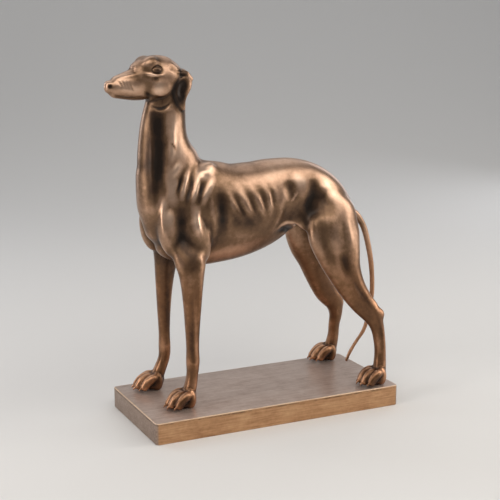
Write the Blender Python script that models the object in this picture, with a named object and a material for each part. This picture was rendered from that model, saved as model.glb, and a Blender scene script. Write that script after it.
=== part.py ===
"""A standing greyhound, cast as one piece, on a separate rectangular plinth.

The dog looks towards -X, its left side faces -Y and +Z is up.
The origin is the middle of the plinth's underside. Lengths are in metres.
"""

import math

import bmesh
import bpy
import numpy as np
from mathutils import Euler, Matrix, Vector

# Driving sizes of the plinth
PLINTH_LENGTH = 0.250
PLINTH_WIDTH = 0.116
PLINTH_HEIGHT = 0.020
PLINTH_CORNER_RADIUS = 0.0035
PLINTH_EDGE_RADIUS = 0.0007
PLINTH_CORNER_STEPS = 4

# Driving size of the dog, from its soles to the top of its shoulders
WITHERS_HEIGHT = 0.220
SOLE_GAP = 0.0003

# The dog is laid out in 220ths of its withers height, which are millimetres at the real size
LAYOUT_HEIGHT = 220.0
CLAY_GRAIN = 1.5
CLAY_TRIANGLES = 9400
BODY_RUBS, LEG_RUBS, FINE_RUBS = 60, 20, 6
RUB_IN, RUB_OUT = 0.6, -0.53
STROKE_TAPER, STROKE_END = 0.3, 0.15
CARVING_DEPTH = 1.3

# Where the trunk, the legs, the head and the free tail begin
TRUNK_FLOOR = 122.0
LEG_FLOOR = 22.0
HEAD_FLOOR = 268.0
TAIL_START, TAIL_HALF_WIDTH = 98.0, 8.0

# The head turns about this point, just behind the eyes, a little to the dog's left
HEAD_PIVOT = Vector((-84, 5, 298))
HEAD_YAW = 7.0

LEFT, RIGHT = -1, 1


def unit():
    """Metres in one layout step."""
    return WITHERS_HEIGHT / LAYOUT_HEIGHT


def midline(x):
    """The dog stands a little askew: its chest is nearer to the plinth's far edge than its rump."""
    return 3.0 - 0.03 * x


def smooth_run(stations, step):
    """Stations joined by a smooth curve through all of their values, about one step apart."""
    rows = np.array(stations, float)
    before = 2 * rows[0] - rows[1]
    after = 2 * rows[-1] - rows[-2]
    padded = np.vstack([before, rows, after])
    run = []
    for i in range(1, len(padded) - 2):
        p0, p1, p2, p3 = padded[i - 1 : i + 3]
        count = max(2, round(np.linalg.norm(p2[:3] - p1[:3]) / step))
        for t in np.arange(count) / count:
            run.append(
                0.5
                * (
                    2 * p1
                    + (p2 - p0) * t
                    + (2 * p0 - 5 * p1 + 4 * p2 - p3) * t**2
                    + (3 * p1 - p0 - 3 * p2 + p3) * t**3
                )
            )
    run.append(rows[-1])
    return np.array(run)


def section(row, tangent, sides):
    """One ring of a limb: an oval, its width across the dog, whose lower half can narrow to a keel."""
    x, y, z, depth, width, keel = row
    across = Vector((0, 1, 0))
    across = (across - across.dot(tangent) * tangent).normalized()
    deep = tangent.cross(across)
    ring = []
    for i in range(sides):
        turn = 2 * math.pi * i / sides
        low = max(0.0, -math.sin(turn)) if keel > 0 else max(0.0, math.sin(turn))
        narrow = 1 - abs(keel) * low
        ring.append(
            Vector((x, y, z))
            + across * (width * narrow * math.cos(turn))
            + deep * (depth * math.sin(turn))
        )
    return ring


def limb(clay, stations, sides=20, step=3.0):
    """A closed rounded form through stations of (x, y, z, half depth, half width, keel)."""
    run = smooth_run([tuple(s) + (0.0,) * (6 - len(s)) for s in stations], step)
    places = [Vector(r[:3]) for r in run]
    rings = []
    for i, row in enumerate(run):
        tangent = (places[min(i + 1, len(run) - 1)] - places[max(i - 1, 0)]).normalized()
        rings.append((row, tangent))
    ends = []
    for row, tangent, way in ((*rings[0], -1), (*rings[-1], 1)):
        reach = min(row[3], row[4])
        dome = []
        for share in (0.35, 0.65, 0.88):
            end = row.copy()
            end[:3] += np.array(tangent) * way * reach * share
            end[3:5] *= math.sqrt(1 - share**2)
            dome.append((end, tangent))
        ends.append((dome, Vector(row[:3]) + tangent * way * reach))
    rings = ends[0][0][::-1] + rings + ends[1][0]
    loops = []
    for row, tangent in rings:
        loops.append([clay.verts.new(p) for p in section(row, tangent, sides)])
    for first, second in zip(loops, loops[1:]):
        for i in range(sides):
            j = (i + 1) % sides
            clay.faces.new((first[i], first[j], second[j], second[i]))
    for loop, tip in ((loops[0], ends[0][1]), (loops[-1], ends[1][1])):
        pole = clay.verts.new(tip)
        for i in range(sides):
            clay.faces.new((loop[i], loop[(i + 1) % sides], pole))


def lump(clay, place, radii, tilt=0.0, splay=0.0, turn=0.0):
    """An egg of clay, leant in degrees: tilt in side view, splay in front view, turn in top view."""
    angles = Euler((math.radians(splay), math.radians(tilt), math.radians(turn)))
    matrix = Matrix.LocRotScale(Vector(place), angles, Vector(radii))
    bmesh.ops.create_uvsphere(clay, u_segments=28, v_segments=18, radius=1, matrix=matrix)


def torso(clay):
    """Deep chest, withers, arched loin, tucked belly and sloping croup, from the breast to the seat."""
    profile = (
        # x, back, belly, half width, keel
        (-99, 198, 158, 12, 0.2),
        (-92, 210, 144, 20, 0.3),
        (-82, 218, 132, 24.5, 0.35),
        (-62, 222, 125, 26, 0.4),
        (-44, 221, 124, 27.5, 0.4),
        (-22, 217.5, 127, 29, 0.35),
        (0, 219, 134, 28.5, 0.3),
        (20, 221, 145, 26, 0.2),
        (38, 220, 155, 23, 0.1),
        (54, 214.5, 160, 22, 0.0),
        (70, 204, 158, 23.5, 0.0),
        (83, 189, 154, 22.5, 0.0),
        (92, 173, 148, 17, 0.0),
    )
    stations = []
    for x, back, belly, width, keel in profile:
        stations.append((x, midline(x), (back + belly) / 2, (back - belly) / 2, width, keel))
    limb(clay, stations, sides=32, step=4.0)
    lump(clay, (-57, midline(-57), 213.5), (13, 11, 10.5), tilt=12)


def neck(clay):
    """The long upright neck, from inside the chest to the back of the skull."""
    profile = (
        # x, z, half depth, half width
        (-82, 163, 27, 19),
        (-82, 180, 32, 23),
        (-83, 198, 32.5, 21.5),
        (-85, 219, 30.5, 18.5),
        (-87.7, 231, 26.5, 17.2),
        (-89.1, 243, 23.3, 15.6),
        (-88.7, 256, 21.4, 14.4),
        (-86.7, 271, 19.3, 13.5),
        (-84.5, 287, 17.2, 13),
    )
    limb(clay, [(x, midline(x), z, depth, width) for x, z, depth, width in profile], sides=28)


def head_matrix():
    """The head's own axes: +X backwards along the skull and +Z up."""
    turn = Euler((0, 0, math.radians(HEAD_YAW)))
    return Matrix.LocRotScale(HEAD_PIVOT, turn, None)


def place(clay, part, matrix):
    """Moves a finished part, modelled about its own origin, to its place on the dog."""
    part.transform(matrix)
    for vertex in part.verts:
        vertex.co.z = max(vertex.co.z, 0.0)
    mesh = bpy.data.meshes.new("part")
    part.to_mesh(mesh)
    part.free()
    clay.from_mesh(mesh)
    bpy.data.meshes.remove(mesh)


def head(clay):
    """Skull, tapering muzzle, brows, cheeks and nose, laid out from the pivot behind the eyes."""
    skull = bmesh.new()
    profile = (
        # x, top, bottom, half width, keel
        (-57.5, -1.8, -11.0, 4.6, 0.0),
        (-54, 0.2, -15.0, 5.9, 0.0),
        (-48, 2.6, -17.5, 7.2, 0.0),
        (-39, 6.6, -19.0, 8.6, 0.0),
        (-34, 8.8, -19.6, 9.8, 0.05),
        (-30, 11.6, -20.2, 11.0, 0.1),
        (-26, 16.0, -20.8, 12.0, 0.15),
        (-19, 19.0, -21.6, 13.6, 0.1),
        (-9, 19.6, -22.0, 14.6, 0.0),
        (1, 16.8, -20.5, 14.0, 0.0),
        (8, 12.8, -16.0, 12.0, 0.0),
        (13, 7.5, -10.0, 8.5, 0.0),
    )
    stations = []
    for x, top, bottom, width, keel in profile:
        stations.append((x, 0, (top + bottom) / 2, (top - bottom) / 2, width, keel))
    limb(skull, stations, sides=28, step=2.5)
    for side in (LEFT, RIGHT):
        lump(skull, (-20.5, side * 6.6, 11.5), (9.5, 6.2, 8.0), tilt=-8, turn=-side * 8)
        lump(skull, (-16.5, side * 11.2, 7.4), (4.4, 3.2, 3.4))
        lump(skull, (-12, side * 11.5, -6), (10, 4.5, 9), tilt=-20)
    lump(skull, (-58, 0, -4.2), (4.2, 5.2, 4.2))
    place(clay, skull, head_matrix())


def ear(clay, side):
    """A rose ear: it leaves the skull backwards, folds over and hangs with its tip on the neck."""
    flap = bmesh.new()
    stations = (
        (8.5, side * 11.5, 4.0, 3.2, 2.6),
        (11.5, side * 12.8, 1.0, 5.0, 2.4),
        (10.5, side * 13.2, -5.0, 7.2, 2.1),
        (7.0, side * 13.2, -12.0, 7.4, 1.9),
        (6.5, side * 12.6, -20.0, 5.2, 1.8),
        (9.0, side * 12.0, -28.0, 2.2, 1.4),
    )
    limb(flap, stations, sides=16, step=2.0)
    lump(flap, (15.6, side * 12.8, -1.0), (3.6, 2.2, 2.6), tilt=30)
    place(clay, flap, head_matrix())


def shoulder(clay, side):
    """Shoulder blade, point of the shoulder and upper arm; the right shoulder is carried further forward."""
    ahead, out = (-4.5, 2.0) if side == RIGHT else (0.0, 0.0)
    y = midline(-75) + out
    lump(clay, (-63, y + side * 16.5, 191), (15, 8.5, 35), tilt=28, splay=side * 9)
    lump(clay, (-87.5 + ahead, y + side * 16.5, 164), (15, 10, 28), tilt=-4, splay=side * 4)
    lump(clay, (-68 + ahead / 2, y + side * 21.5, 154), (15, 8.5, 26), tilt=-12)


def paw(clay, x, y, turn):
    """Four arched toes with a heel pad, the middle two the longest."""
    foot = bmesh.new()
    for offset, tip in ((-8.2, -21.0), (-2.8, -24.0), (2.8, -24.0), (8.2, -21.0)):
        stations = (
            (-3, offset * 0.55, 11.8, 4.2, 3.6),
            (-9, offset * 0.85, 11.2, 4.4, 3.5),
            (tip / 2 - 4.5, offset * 1.0, 8.6, 4.3, 3.3),
            (tip + 3.2, offset * 1.05, 4.2, 3.9, 3.1),
        )
        limb(foot, stations, sides=12, step=2.0)
    lump(foot, (-6, 0, 4.5), (8.5, 8, 4.8))
    lump(foot, (0, 0, 10), (5.8, 6, 9))
    matrix = Matrix.LocRotScale(Vector((x, y, 0)), Euler((0, 0, math.radians(turn))), None)
    place(clay, foot, matrix)


def foreleg(clay, side):
    """A straight foreleg down to its paw. The right one is slimmer and stands further forward."""
    shift, slim = (-5.2, 0.9) if side == RIGHT else (0.0, 1.0)
    y = 4.5
    stations = (
        (-77.5 + shift / 2, y + side * 22.5, 152, 18.5, 9.5),
        (-75.2 + shift / 2, y + side * 25.5, 136, 15.8 * slim, 9.0),
        (-74.8 + shift * 0.8, y + side * 27.5, 120, 12.0 * slim, 8.3),
        (-75 + shift, y + side * 28.5, 98, 9.2 * slim, 7.2),
        (-75.5 + shift, y + side * 29, 74, 7.3 * slim, 6.2),
        (-75.5 + shift, y + side * 29, 54, 6.3 * slim, 6.0),
        (-75.5 + shift, y + side * 29, 42, 6.6 * slim, 6.6),
        (-76 + shift, y + side * 29, 31, 5.8, 5.7),
        (-78 + shift * 1.4, y + side * 29.5, 20, 6.0, 6.0),
        (-81 + shift * 1.6, y + side * 30, 10, 6.5, 7.0),
    )
    limb(clay, stations)
    x, y, *_ = stations[-1]
    paw(clay, x + 2, y, -side * 6)


def hind_leg(clay, side):
    """Thigh, second thigh, hock, rear pastern and paw. The right hock stands lower and further forward."""
    shift, drop, slim = (-4.5, -4.5, 0.9) if side == RIGHT else (0.0, 0.0, 1.0)
    y = 0.5
    stations = (
        (69, y + side * 13, 184, 15, 12),
        (72, y + side * 18.5, 168, 24.5, 13.5),
        (71, y + side * 24, 149, 27.5, 12.5),
        (74.5, y + side * 28.5, 128, 23, 11),
        (79, y + side * 32, 111, 17.6 * slim, 9.5),
        (86.2, y + side * 34.5, 95 + drop / 2, 14.2 * slim, 8.4),
        (96.2, y + side * 36, 80 + drop, 12.0, 6.9),
        (106.6, y + side * 37, 68 + drop, 10.4, 6.3),
        (112.3 + shift / 2, y + side * 38.5, 55 + drop, 7.4, 5.8),
        (114 + shift, y + side * 41, 40 + drop / 2, 6.2, 5.4),
        (114 + shift, y + side * 42.5, 26, 6.1, 5.6),
        (112 + shift, y + side * 44.6, 12, 6.8, 6.6),
    )
    limb(clay, stations, sides=24)
    lump(clay, (115 + shift / 2, y + side * 37.5, 67 + drop), (5.5, 5, 7), tilt=-20)
    x, y, *_ = stations[-1]
    paw(clay, x + 1, y, -side * 4)


def tail(clay):
    """A long thin tail that hangs from the croup, bows behind the legs and curls forward between them."""
    profile = (
        # x, y, z, radius
        (84, 1, 173, 8.0),
        (94, 1, 166, 5.6),
        (103, 1, 163, 4.4),
        (110.5, 1, 158.5, 3.9),
        (119, 1, 145, 3.5),
        (124.5, 1, 126, 3.2),
        (128, 1, 108, 3.0),
        (129.5, 1, 90, 2.8),
        (129, 1, 72, 2.7),
        (122.5, 1, 44, 2.5),
        (113.5, 1, 31, 2.3),
        (105.8, 1, 20.5, 2.1),
        (101, 1, 11, 1.7),
    )
    limb(clay, [(x, y, z, r, r) for x, y, z, r in profile], sides=14)


def softness(points):
    """How many rubs each point gets: many on the trunk, few on the head, paws and tail."""
    x, y, z = points.T
    rubs = np.where(z > TRUNK_FLOOR, BODY_RUBS, np.where(z > LEG_FLOOR, LEG_RUBS, FINE_RUBS))
    head = z > HEAD_FLOOR
    tail = (x > TAIL_START) & (abs(y) < TAIL_HALF_WIDTH)
    return np.where(head | tail, FINE_RUBS, rubs)


def rub_down(skin):
    """Softens the seams between the clay forms, each second rub swelling what the first one shrank."""
    points = np.empty(len(skin.vertices) * 3)
    skin.vertices.foreach_get("co", points)
    points = points.reshape(-1, 3)
    ends = np.empty(len(skin.edges) * 2, int)
    skin.edges.foreach_get("vertices", ends)
    first, second = ends.reshape(-1, 2).T
    links = np.bincount(ends, minlength=len(points))[:, None]
    rubs = softness(points)
    for turn in range(int(rubs.max())):
        total = np.empty_like(points)
        for axis in range(3):
            total[:, axis] = np.bincount(first, points[second, axis], len(points))
            total[:, axis] += np.bincount(second, points[first, axis], len(points))
        strength = RUB_IN if turn % 2 == 0 else RUB_OUT
        points += (total / links - points) * strength * (rubs > turn)[:, None]
    skin.vertices.foreach_set("co", points.ravel())


def flank_fold(clay, side):
    """The thin skin that runs from the belly up over the flank and down to the thigh."""
    stations = (
        (6, side * 11, 153, 6, 3.5),
        (17, side * 14.5, 164, 8, 3.2),
        (28, side * 16.5, 169.5, 9.5, 3.2),
        (38, side * 18.5, 168, 11, 3.2),
        (48, side * 20.5, 160, 11, 3.5),
    )
    limb(clay, [(x, midline(x) + y, z, d, w) for x, y, z, d, w in stations], sides=12)


def sheath(clay):
    """The short soft fold under the tucked belly."""
    stations = ((-6, 141.5, 4.5), (6, 145, 4.5), (16, 149, 4.0), (22, 153, 3.0))
    limb(clay, [(x, midline(x), z, r, r) for x, z, r in stations], sides=12)


def stroke(points, normals, path, reach, height, side=LEFT):
    """How far each point moves for one soft line drawn on the side view: out for a ridge, in for a groove."""
    line = smooth_run(path, reach)[:, :2] if len(path) > 2 else np.array(path, float)
    near = np.full(len(points), np.inf)
    along = np.zeros(len(points))
    flat = points[:, [0, 2]]
    steps = len(line) - 1
    for i in range(steps):
        start, run = line[i], line[i + 1] - line[i]
        share = np.clip((flat - start) @ run / (run @ run), 0, 1)
        gap = np.linalg.norm(flat - start - share[:, None] * run, axis=1)
        closer = gap < near
        near[closer] = gap[closer]
        along[closer] = (i + share[closer]) / steps
    across = np.clip(1 - (near / reach) ** 2, 0, 1) ** 2
    taper = np.clip(np.minimum(along, 1 - along) / STROKE_TAPER, STROKE_END, 1)
    facing = np.clip(normals[:, 1] * side, 0, 1)
    return height * across * taper * facing


# Soft lines of the side view: points of (x, z), reach to either side, height
TRUNK_LINES = (
    # broad swell of the withers with its faint ring, and the strands that fan down from it
    (((-58, 217), (-56, 207)), 9.0, 1.0),
    (((-62.5, 221), (-60.5, 214), (-55.5, 211), (-51.5, 214)), 1.8, -0.6),
    (((-78, 225), (-84, 218), (-89, 210)), 4.4, 1.1),
    (((-71, 218), (-79, 202), (-81.4, 187)), 3.4, 1.5),
    (((-63, 214), (-67, 201), (-73, 186.5)), 3.2, 1.5),
    (((-67, 208), (-76.5, 190)), 2.8, -1.1),
    (((-77, 212), (-85, 195)), 3.0, -1.2),
    (((-60, 207), (-66, 192)), 2.8, -0.9),
    (((-47, 211), (-58, 194), (-63.7, 182)), 4.2, 1.3),
    # rear border of the shoulder and the hollow behind it
    (((-50, 206), (-53.5, 187), (-51, 168), (-50, 150), (-53, 137)), 3.4, 1.1),
    (((-44, 196), (-44, 180), (-43, 165), (-42, 152)), 6.5, -2.0),
    # hollow of the upper arm between two ridges
    (((-90.3, 204), (-97, 185), (-99.5, 171), (-96, 155), (-88, 142)), 3.8, 1.5),
    (((-80.4, 184), (-83.5, 168), (-81, 150)), 9.0, -2.4),
    (((-68.4, 186), (-68.8, 170), (-67, 156)), 5.0, 1.7),
    (((-60, 176), (-60, 160), (-61, 146)), 4.5, -0.8),
    # ribs and the grooves between them
    (((-39, 197), (-35, 187), (-30, 176), (-22, 165)), 4.2, 1.1),
    (((-28, 201), (-24, 190), (-19, 177), (-11, 165)), 4.2, 1.2),
    (((-16.5, 201.5), (-10.6, 190.7), (-6, 178), (1, 165)), 4.0, 1.1),
    (((-3, 201.6), (1.4, 192), (3, 179), (6, 167)), 3.8, 1.0),
    (((6, 202), (9.5, 191), (11, 180)), 3.4, 0.7),
    (((-32, 194), (-28, 184), (-21, 170)), 3.8, -1.0),
    (((-19.5, 196), (-15, 184), (-9, 170)), 3.6, -0.9),
    (((-7.5, 197), (-3.5, 186), (0, 173)), 3.2, -0.8),
    (((4, 197), (6.5, 186), (8, 175)), 3.0, -0.5),
    # edge of the rib cage, flank and the hollow in front of the thigh
    (((15, 190), (15.5, 175), (11, 160), (3, 150)), 5.0, 1.0),
    (((24, 202), (26, 192), (31, 180)), 9.0, -1.5),
    (((51, 203), (50, 188), (47, 172), (45, 160)), 7.0, -2.4),
    (((58, 199), (64, 188), (72, 174)), 8.0, 1.2),
    (((56, 182), (54, 160), (56, 142), (64, 120)), 6.0, -1.2),
    (((66, 170), (66, 150), (70, 128)), 9.0, 1.0),
    (((80, 168), (82, 150), (84, 132)), 7.0, 0.7),
    (((71, 134), (75, 120), (78, 106)), 6.0, -1.0),
)
NECK_LINES = (
    (((-98, 266), (-97.5, 244), (-98.5, 222), (-100.5, 202), (-103, 182)), 8.0, -2.6),
    (((-103.5, 262), (-103.3, 244), (-104.7, 212), (-105.4, 180)), 2.8, 1.3),
    (((-84, 264), (-86, 246), (-89, 228), (-92, 212)), 5.0, 1.1),
)
LEG_LINES = (
    (((-74, 124), (-75, 92), (-75.5, 60)), 3.2, -0.8),
    (((84, 106), (93, 92), (104, 78)), 3.0, -1.3),
    (((112, 58), (114, 40), (114, 28)), 2.4, -0.6),
)


# The same in the head's own axes
HEAD_LINES = (
    # eye socket, lower lid and cheekbone, mouth, cheek crease and nostril
    (((-23.5, 8.5), (-20, 11.2), (-15, 12.0), (-10.5, 9.5), (-9, 6)), 2.4, -1.3),
    (((-24, 5.5), (-18, 4.2), (-11, 4.2)), 2.2, -1.0),
    (((-32, 4.5), (-21, 2.4), (-9, 2.6)), 3.0, 1.0),
    (((-57, -9.5), (-46, -12.5), (-33, -13.5)), 2.4, -1.0),
    (((-28, -11), (-22, -14), (-15, -19)), 3.0, -1.2),
    (((-58, -3.5), (-56, -4.5)), 2.0, -1.2),
)


def carved(skin):
    """Works the muscles, ribs and hollows into both sides of the dog."""
    points = np.empty(len(skin.vertices) * 3)
    normals = np.empty(len(skin.vertices) * 3)
    skin.vertices.foreach_get("co", points)
    skin.vertices.foreach_get("normal", normals)
    points = points.reshape(-1, 3)
    normals = normals.reshape(-1, 3)
    lift = np.zeros(len(points))
    for side in (LEFT, RIGHT):
        this_side = (points[:, 1] - midline(points[:, 0])) * side > 0
        for path, reach, height in TRUNK_LINES + NECK_LINES + LEG_LINES:
            lift += stroke(points, normals, path, reach, height * CARVING_DEPTH, side) * this_side
    to_head = np.array(head_matrix().inverted())
    on_head = points[:, 2] > HEAD_FLOOR
    head_points = points[on_head] @ to_head[:3, :3].T + to_head[:3, 3]
    head_normals = normals[on_head] @ to_head[:3, :3].T
    for side in (LEFT, RIGHT):
        for path, reach, height in HEAD_LINES:
            lift[on_head] += stroke(head_points, head_normals, path, reach, height, side)
    points += normals * lift[:, None]
    skin.vertices.foreach_set("co", points.ravel())


def fused(clay, name):
    """The clay forms melted into one skin."""
    bmesh.ops.recalc_face_normals(clay, faces=clay.faces)
    mesh = bpy.data.meshes.new(name)
    clay.to_mesh(mesh)
    clay.free()
    obj = bpy.data.objects.new(name, mesh)
    bpy.context.scene.collection.objects.link(obj)
    remesh = obj.modifiers.new("one skin", "REMESH")
    remesh.mode = "VOXEL"
    remesh.voxel_size = CLAY_GRAIN
    remesh.adaptivity = 0
    graph = bpy.context.evaluated_depsgraph_get()
    skin = bpy.data.meshes.new_from_object(obj.evaluated_get(graph))
    obj.modifiers.clear()
    obj.data = skin
    skin.name = name
    bpy.data.meshes.remove(mesh)
    rub_down(skin)
    skin.update()
    carved(skin)
    return obj


def greyhound():
    clay = bmesh.new()
    torso(clay)
    neck(clay)
    head(clay)
    for side in (LEFT, RIGHT):
        ear(clay, side)
        shoulder(clay, side)
        foreleg(clay, side)
        hind_leg(clay, side)
        flank_fold(clay, side)
    tail(clay)
    sheath(clay)
    dog = fused(clay, "greyhound")
    scale = Matrix.Scale(unit(), 4)
    dog.data.transform(Matrix.Translation((0, 0, PLINTH_HEIGHT + SOLE_GAP)) @ scale)
    triangles = sum(len(p.vertices) - 2 for p in dog.data.polygons)
    thin = dog.modifiers.new("fewer faces", "DECIMATE")
    thin.ratio = min(1.0, CLAY_TRIANGLES / triangles)
    dog.data.shade_smooth()
    return dog


def plinth():
    """A flat board with its four upright corners rounded and its long edges just broken."""
    board = bmesh.new()
    size = Matrix.Diagonal((PLINTH_LENGTH, PLINTH_WIDTH, PLINTH_HEIGHT, 1))
    place = Matrix.Translation((0, 0, PLINTH_HEIGHT / 2))
    bmesh.ops.create_cube(board, size=1, matrix=place @ size)
    upright = [e for e in board.edges if abs(e.verts[0].co.z - e.verts[1].co.z) > PLINTH_HEIGHT / 2]
    corner = {"offset": PLINTH_CORNER_RADIUS, "segments": PLINTH_CORNER_STEPS}
    bmesh.ops.bevel(board, geom=upright, profile=0.5, affect="EDGES", **corner)
    flat = [e for e in board.edges if abs(e.verts[0].co.z - e.verts[1].co.z) < PLINTH_HEIGHT / 4]
    bmesh.ops.bevel(board, geom=flat, offset=PLINTH_EDGE_RADIUS, segments=2, profile=0.5, affect="EDGES")
    bmesh.ops.recalc_face_normals(board, faces=board.faces)
    mesh = bpy.data.meshes.new("plinth")
    board.to_mesh(mesh)
    board.free()
    obj = bpy.data.objects.new("plinth", mesh)
    bpy.context.scene.collection.objects.link(obj)
    return obj


def material(name, colour, roughness, metallic):
    made = bpy.data.materials.new(name)
    made.use_nodes = True
    shader = made.node_tree.nodes["Principled BSDF"]
    shader.inputs["Base Color"].default_value = (*colour, 1)
    shader.inputs["Roughness"].default_value = roughness
    shader.inputs["Metallic"].default_value = metallic
    return made


def main():
    for obj in list(bpy.data.objects):
        bpy.data.objects.remove(obj)
    dog = greyhound()
    dog.data.materials.append(material("bronze", (0.42, 0.25, 0.13), 0.35, 0.9))
    base = plinth()
    base.data.materials.append(material("plinth_bronze", (0.36, 0.24, 0.15), 0.55, 0.5))


main()
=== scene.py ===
import math

import bpy
import numpy as np
from mathutils import Euler, Matrix, Vector


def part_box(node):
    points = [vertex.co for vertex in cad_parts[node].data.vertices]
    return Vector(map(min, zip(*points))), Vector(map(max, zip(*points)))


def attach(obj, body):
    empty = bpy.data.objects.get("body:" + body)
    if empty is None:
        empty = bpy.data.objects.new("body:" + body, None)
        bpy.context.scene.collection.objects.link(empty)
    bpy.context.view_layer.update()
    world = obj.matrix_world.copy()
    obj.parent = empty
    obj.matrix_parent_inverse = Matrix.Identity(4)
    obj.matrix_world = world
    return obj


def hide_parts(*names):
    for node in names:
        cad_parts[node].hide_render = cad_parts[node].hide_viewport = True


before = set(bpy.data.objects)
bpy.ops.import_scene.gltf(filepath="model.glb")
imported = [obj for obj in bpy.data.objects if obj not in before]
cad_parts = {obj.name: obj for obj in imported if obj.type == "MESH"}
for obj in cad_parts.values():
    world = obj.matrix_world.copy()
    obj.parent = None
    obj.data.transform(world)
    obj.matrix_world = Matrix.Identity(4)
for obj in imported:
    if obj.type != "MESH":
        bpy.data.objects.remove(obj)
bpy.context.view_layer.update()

left, right = -1, 1


# Camera

cameraView = {
    "azimuth": -25.336,
    "elevation": 12.014,
    "roll": -0.16,
    "distance": 1.099,
    "target": (-0.00575, 0.0, 0.15475),
    "lens": 84.0,
}


def addCamera():
    azimuth = math.radians(cameraView["azimuth"])
    tilt = math.radians(90 - cameraView["elevation"])
    roll = Matrix.Rotation(math.radians(cameraView["roll"]), 3, "Z")
    turn = Euler((tilt, 0, azimuth)).to_matrix() @ roll
    away = turn @ Vector((0, 0, 1))
    bpy.ops.object.camera_add()
    camera = bpy.context.object
    camera.name = "photoView"
    camera.data.lens = cameraView["lens"]
    camera.location = Vector(cameraView["target"]) + away * cameraView["distance"]
    camera.rotation_euler = turn.to_euler()
    bpy.context.scene.camera = camera


# Studio

studio = {
    "floorReach": 8.0,
    "coveStart": 0.9,
    "coveRadius": 3.0,
    "coveSteps": 24,
    "paper": (0.74, 0.73, 0.71),
    "paperRoughness": 0.9,
    "world": (0.09, 0.092, 0.10),
    "aim": (0.0, 0.0, 0.18),
    # name: place, width, height, watts, colour
    "lights": {
        "mainSoftbox": ((0.05, -0.95, 1.15), 2.2, 0.85, 12.8, (1.0, 0.95, 0.88)),
        "keyLeft": ((-1.15, -0.25, 0.58), 0.40, 1.1, 5.6, (1.0, 0.94, 0.90)),
        "keyRight": ((1.15, -0.45, 0.58), 0.5, 1.1, 6.6, (1.0, 0.95, 0.90)),
        "rimLeft": ((-0.85, 0.95, 0.55), 0.35, 0.9, 3.0, (0.90, 0.93, 1.0)),
        "rimRight": ((1.05, 0.70, 0.60), 0.35, 0.9, 1.5, (0.90, 0.93, 1.0)),
        "ceiling": ((0.0, 1.6, 3.6), 6.0, 4.0, 62.0, (0.97, 0.98, 1.0)),
    },
}


def addStudio():
    # a sheet of pale paper that lies flat and then sweeps up behind the statue
    reach = studio["floorReach"]
    bpy.ops.mesh.primitive_plane_add(size=2 * reach)
    floor = bpy.context.object
    floor.name = "paperSweep"
    bpy.ops.object.mode_set(mode="EDIT")
    bpy.ops.transform.translate(value=(0, studio["coveStart"] - reach, 0))
    bpy.ops.mesh.select_all(action="DESELECT")
    bpy.ops.object.mode_set(mode="OBJECT")
    for edge in floor.data.edges:
        edge.select = all(floor.data.vertices[i].co.y > 0 for i in edge.vertices)
    bpy.ops.object.mode_set(mode="EDIT")
    bpy.ops.mesh.select_mode(type="EDGE")
    radius = studio["coveRadius"]
    bpy.ops.mesh.spin(
        steps=studio["coveSteps"],
        angle=-math.pi / 2,
        center=(0, studio["coveStart"], radius),
        axis=(1, 0, 0),
    )
    bpy.ops.mesh.extrude_region_move(TRANSFORM_OT_translate={"value": (0, 0, reach)})
    bpy.ops.object.mode_set(mode="OBJECT")
    bpy.ops.object.shade_smooth()
    floor.rotation_euler.z = math.radians(cameraView["azimuth"])
    paper = bpy.data.materials.new("palePaper")
    paper.use_nodes = True
    shader = paper.node_tree.nodes["Principled BSDF"]
    shader.inputs["Base Color"].default_value = (*studio["paper"], 1)
    shader.inputs["Roughness"].default_value = studio["paperRoughness"]
    floor.data.materials.append(paper)
    world = bpy.data.worlds.new("studioAir")
    world.use_nodes = True
    world.node_tree.nodes["Background"].inputs["Color"].default_value = (*studio["world"], 1)
    bpy.context.scene.world = world
    bpy.context.scene.view_settings.view_transform = "Standard"
    for name, (place, width, height, watts, colour) in studio["lights"].items():
        bpy.ops.object.light_add(type="AREA", location=place)
        lamp = bpy.context.object
        lamp.name = name
        lamp.data.shape = "RECTANGLE"
        lamp.data.size = width
        lamp.data.size_y = height
        lamp.data.energy = watts
        lamp.data.color = colour
        way = Vector(studio["aim"]) - Vector(place)
        lamp.rotation_euler = way.to_track_quat("-Z", "Y").to_euler()


# Clay: lofted limbs and eggs, in millimetres, with zero at the soles

clay = {
    # how far out the rings of a limb's domed end lie
    "domeShares": (0.4, 0.7, 0.92),
    "eggSegments": 28,
    "eggRings": 18,
    # a rub, and the one after it that swells what it shrank
    "rubs": (0.6, -0.53),
    "softRub": 0.5,
}


def smoothRun(stations, step):
    rows = np.array(stations, float)
    padded = np.vstack([2 * rows[0] - rows[1], rows, 2 * rows[-1] - rows[-2]])
    run = []
    for i in range(1, len(padded) - 2):
        a, b, c, d = padded[i - 1 : i + 3]
        count = max(2, round(np.linalg.norm(c[:3] - b[:3]) / step))
        for t in np.arange(count) / count:
            bend = (2 * a - 5 * b + 4 * c - d) * t**2 + (3 * b - a - 3 * c + d) * t**3
            run.append(0.5 * (2 * b + (c - a) * t + bend))
    run.append(rows[-1])
    return np.array(run)


def roundEnd(row, way):
    # rings that close a limb with a dome; way points out of the limb
    reach = min(row[3], row[4])
    rings = []
    for share in clay["domeShares"]:
        ring = row.copy()
        ring[:3] += way * reach * share
        ring[3:5] *= math.sqrt(1 - share**2)
        rings.append(ring)
    return rings


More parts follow.
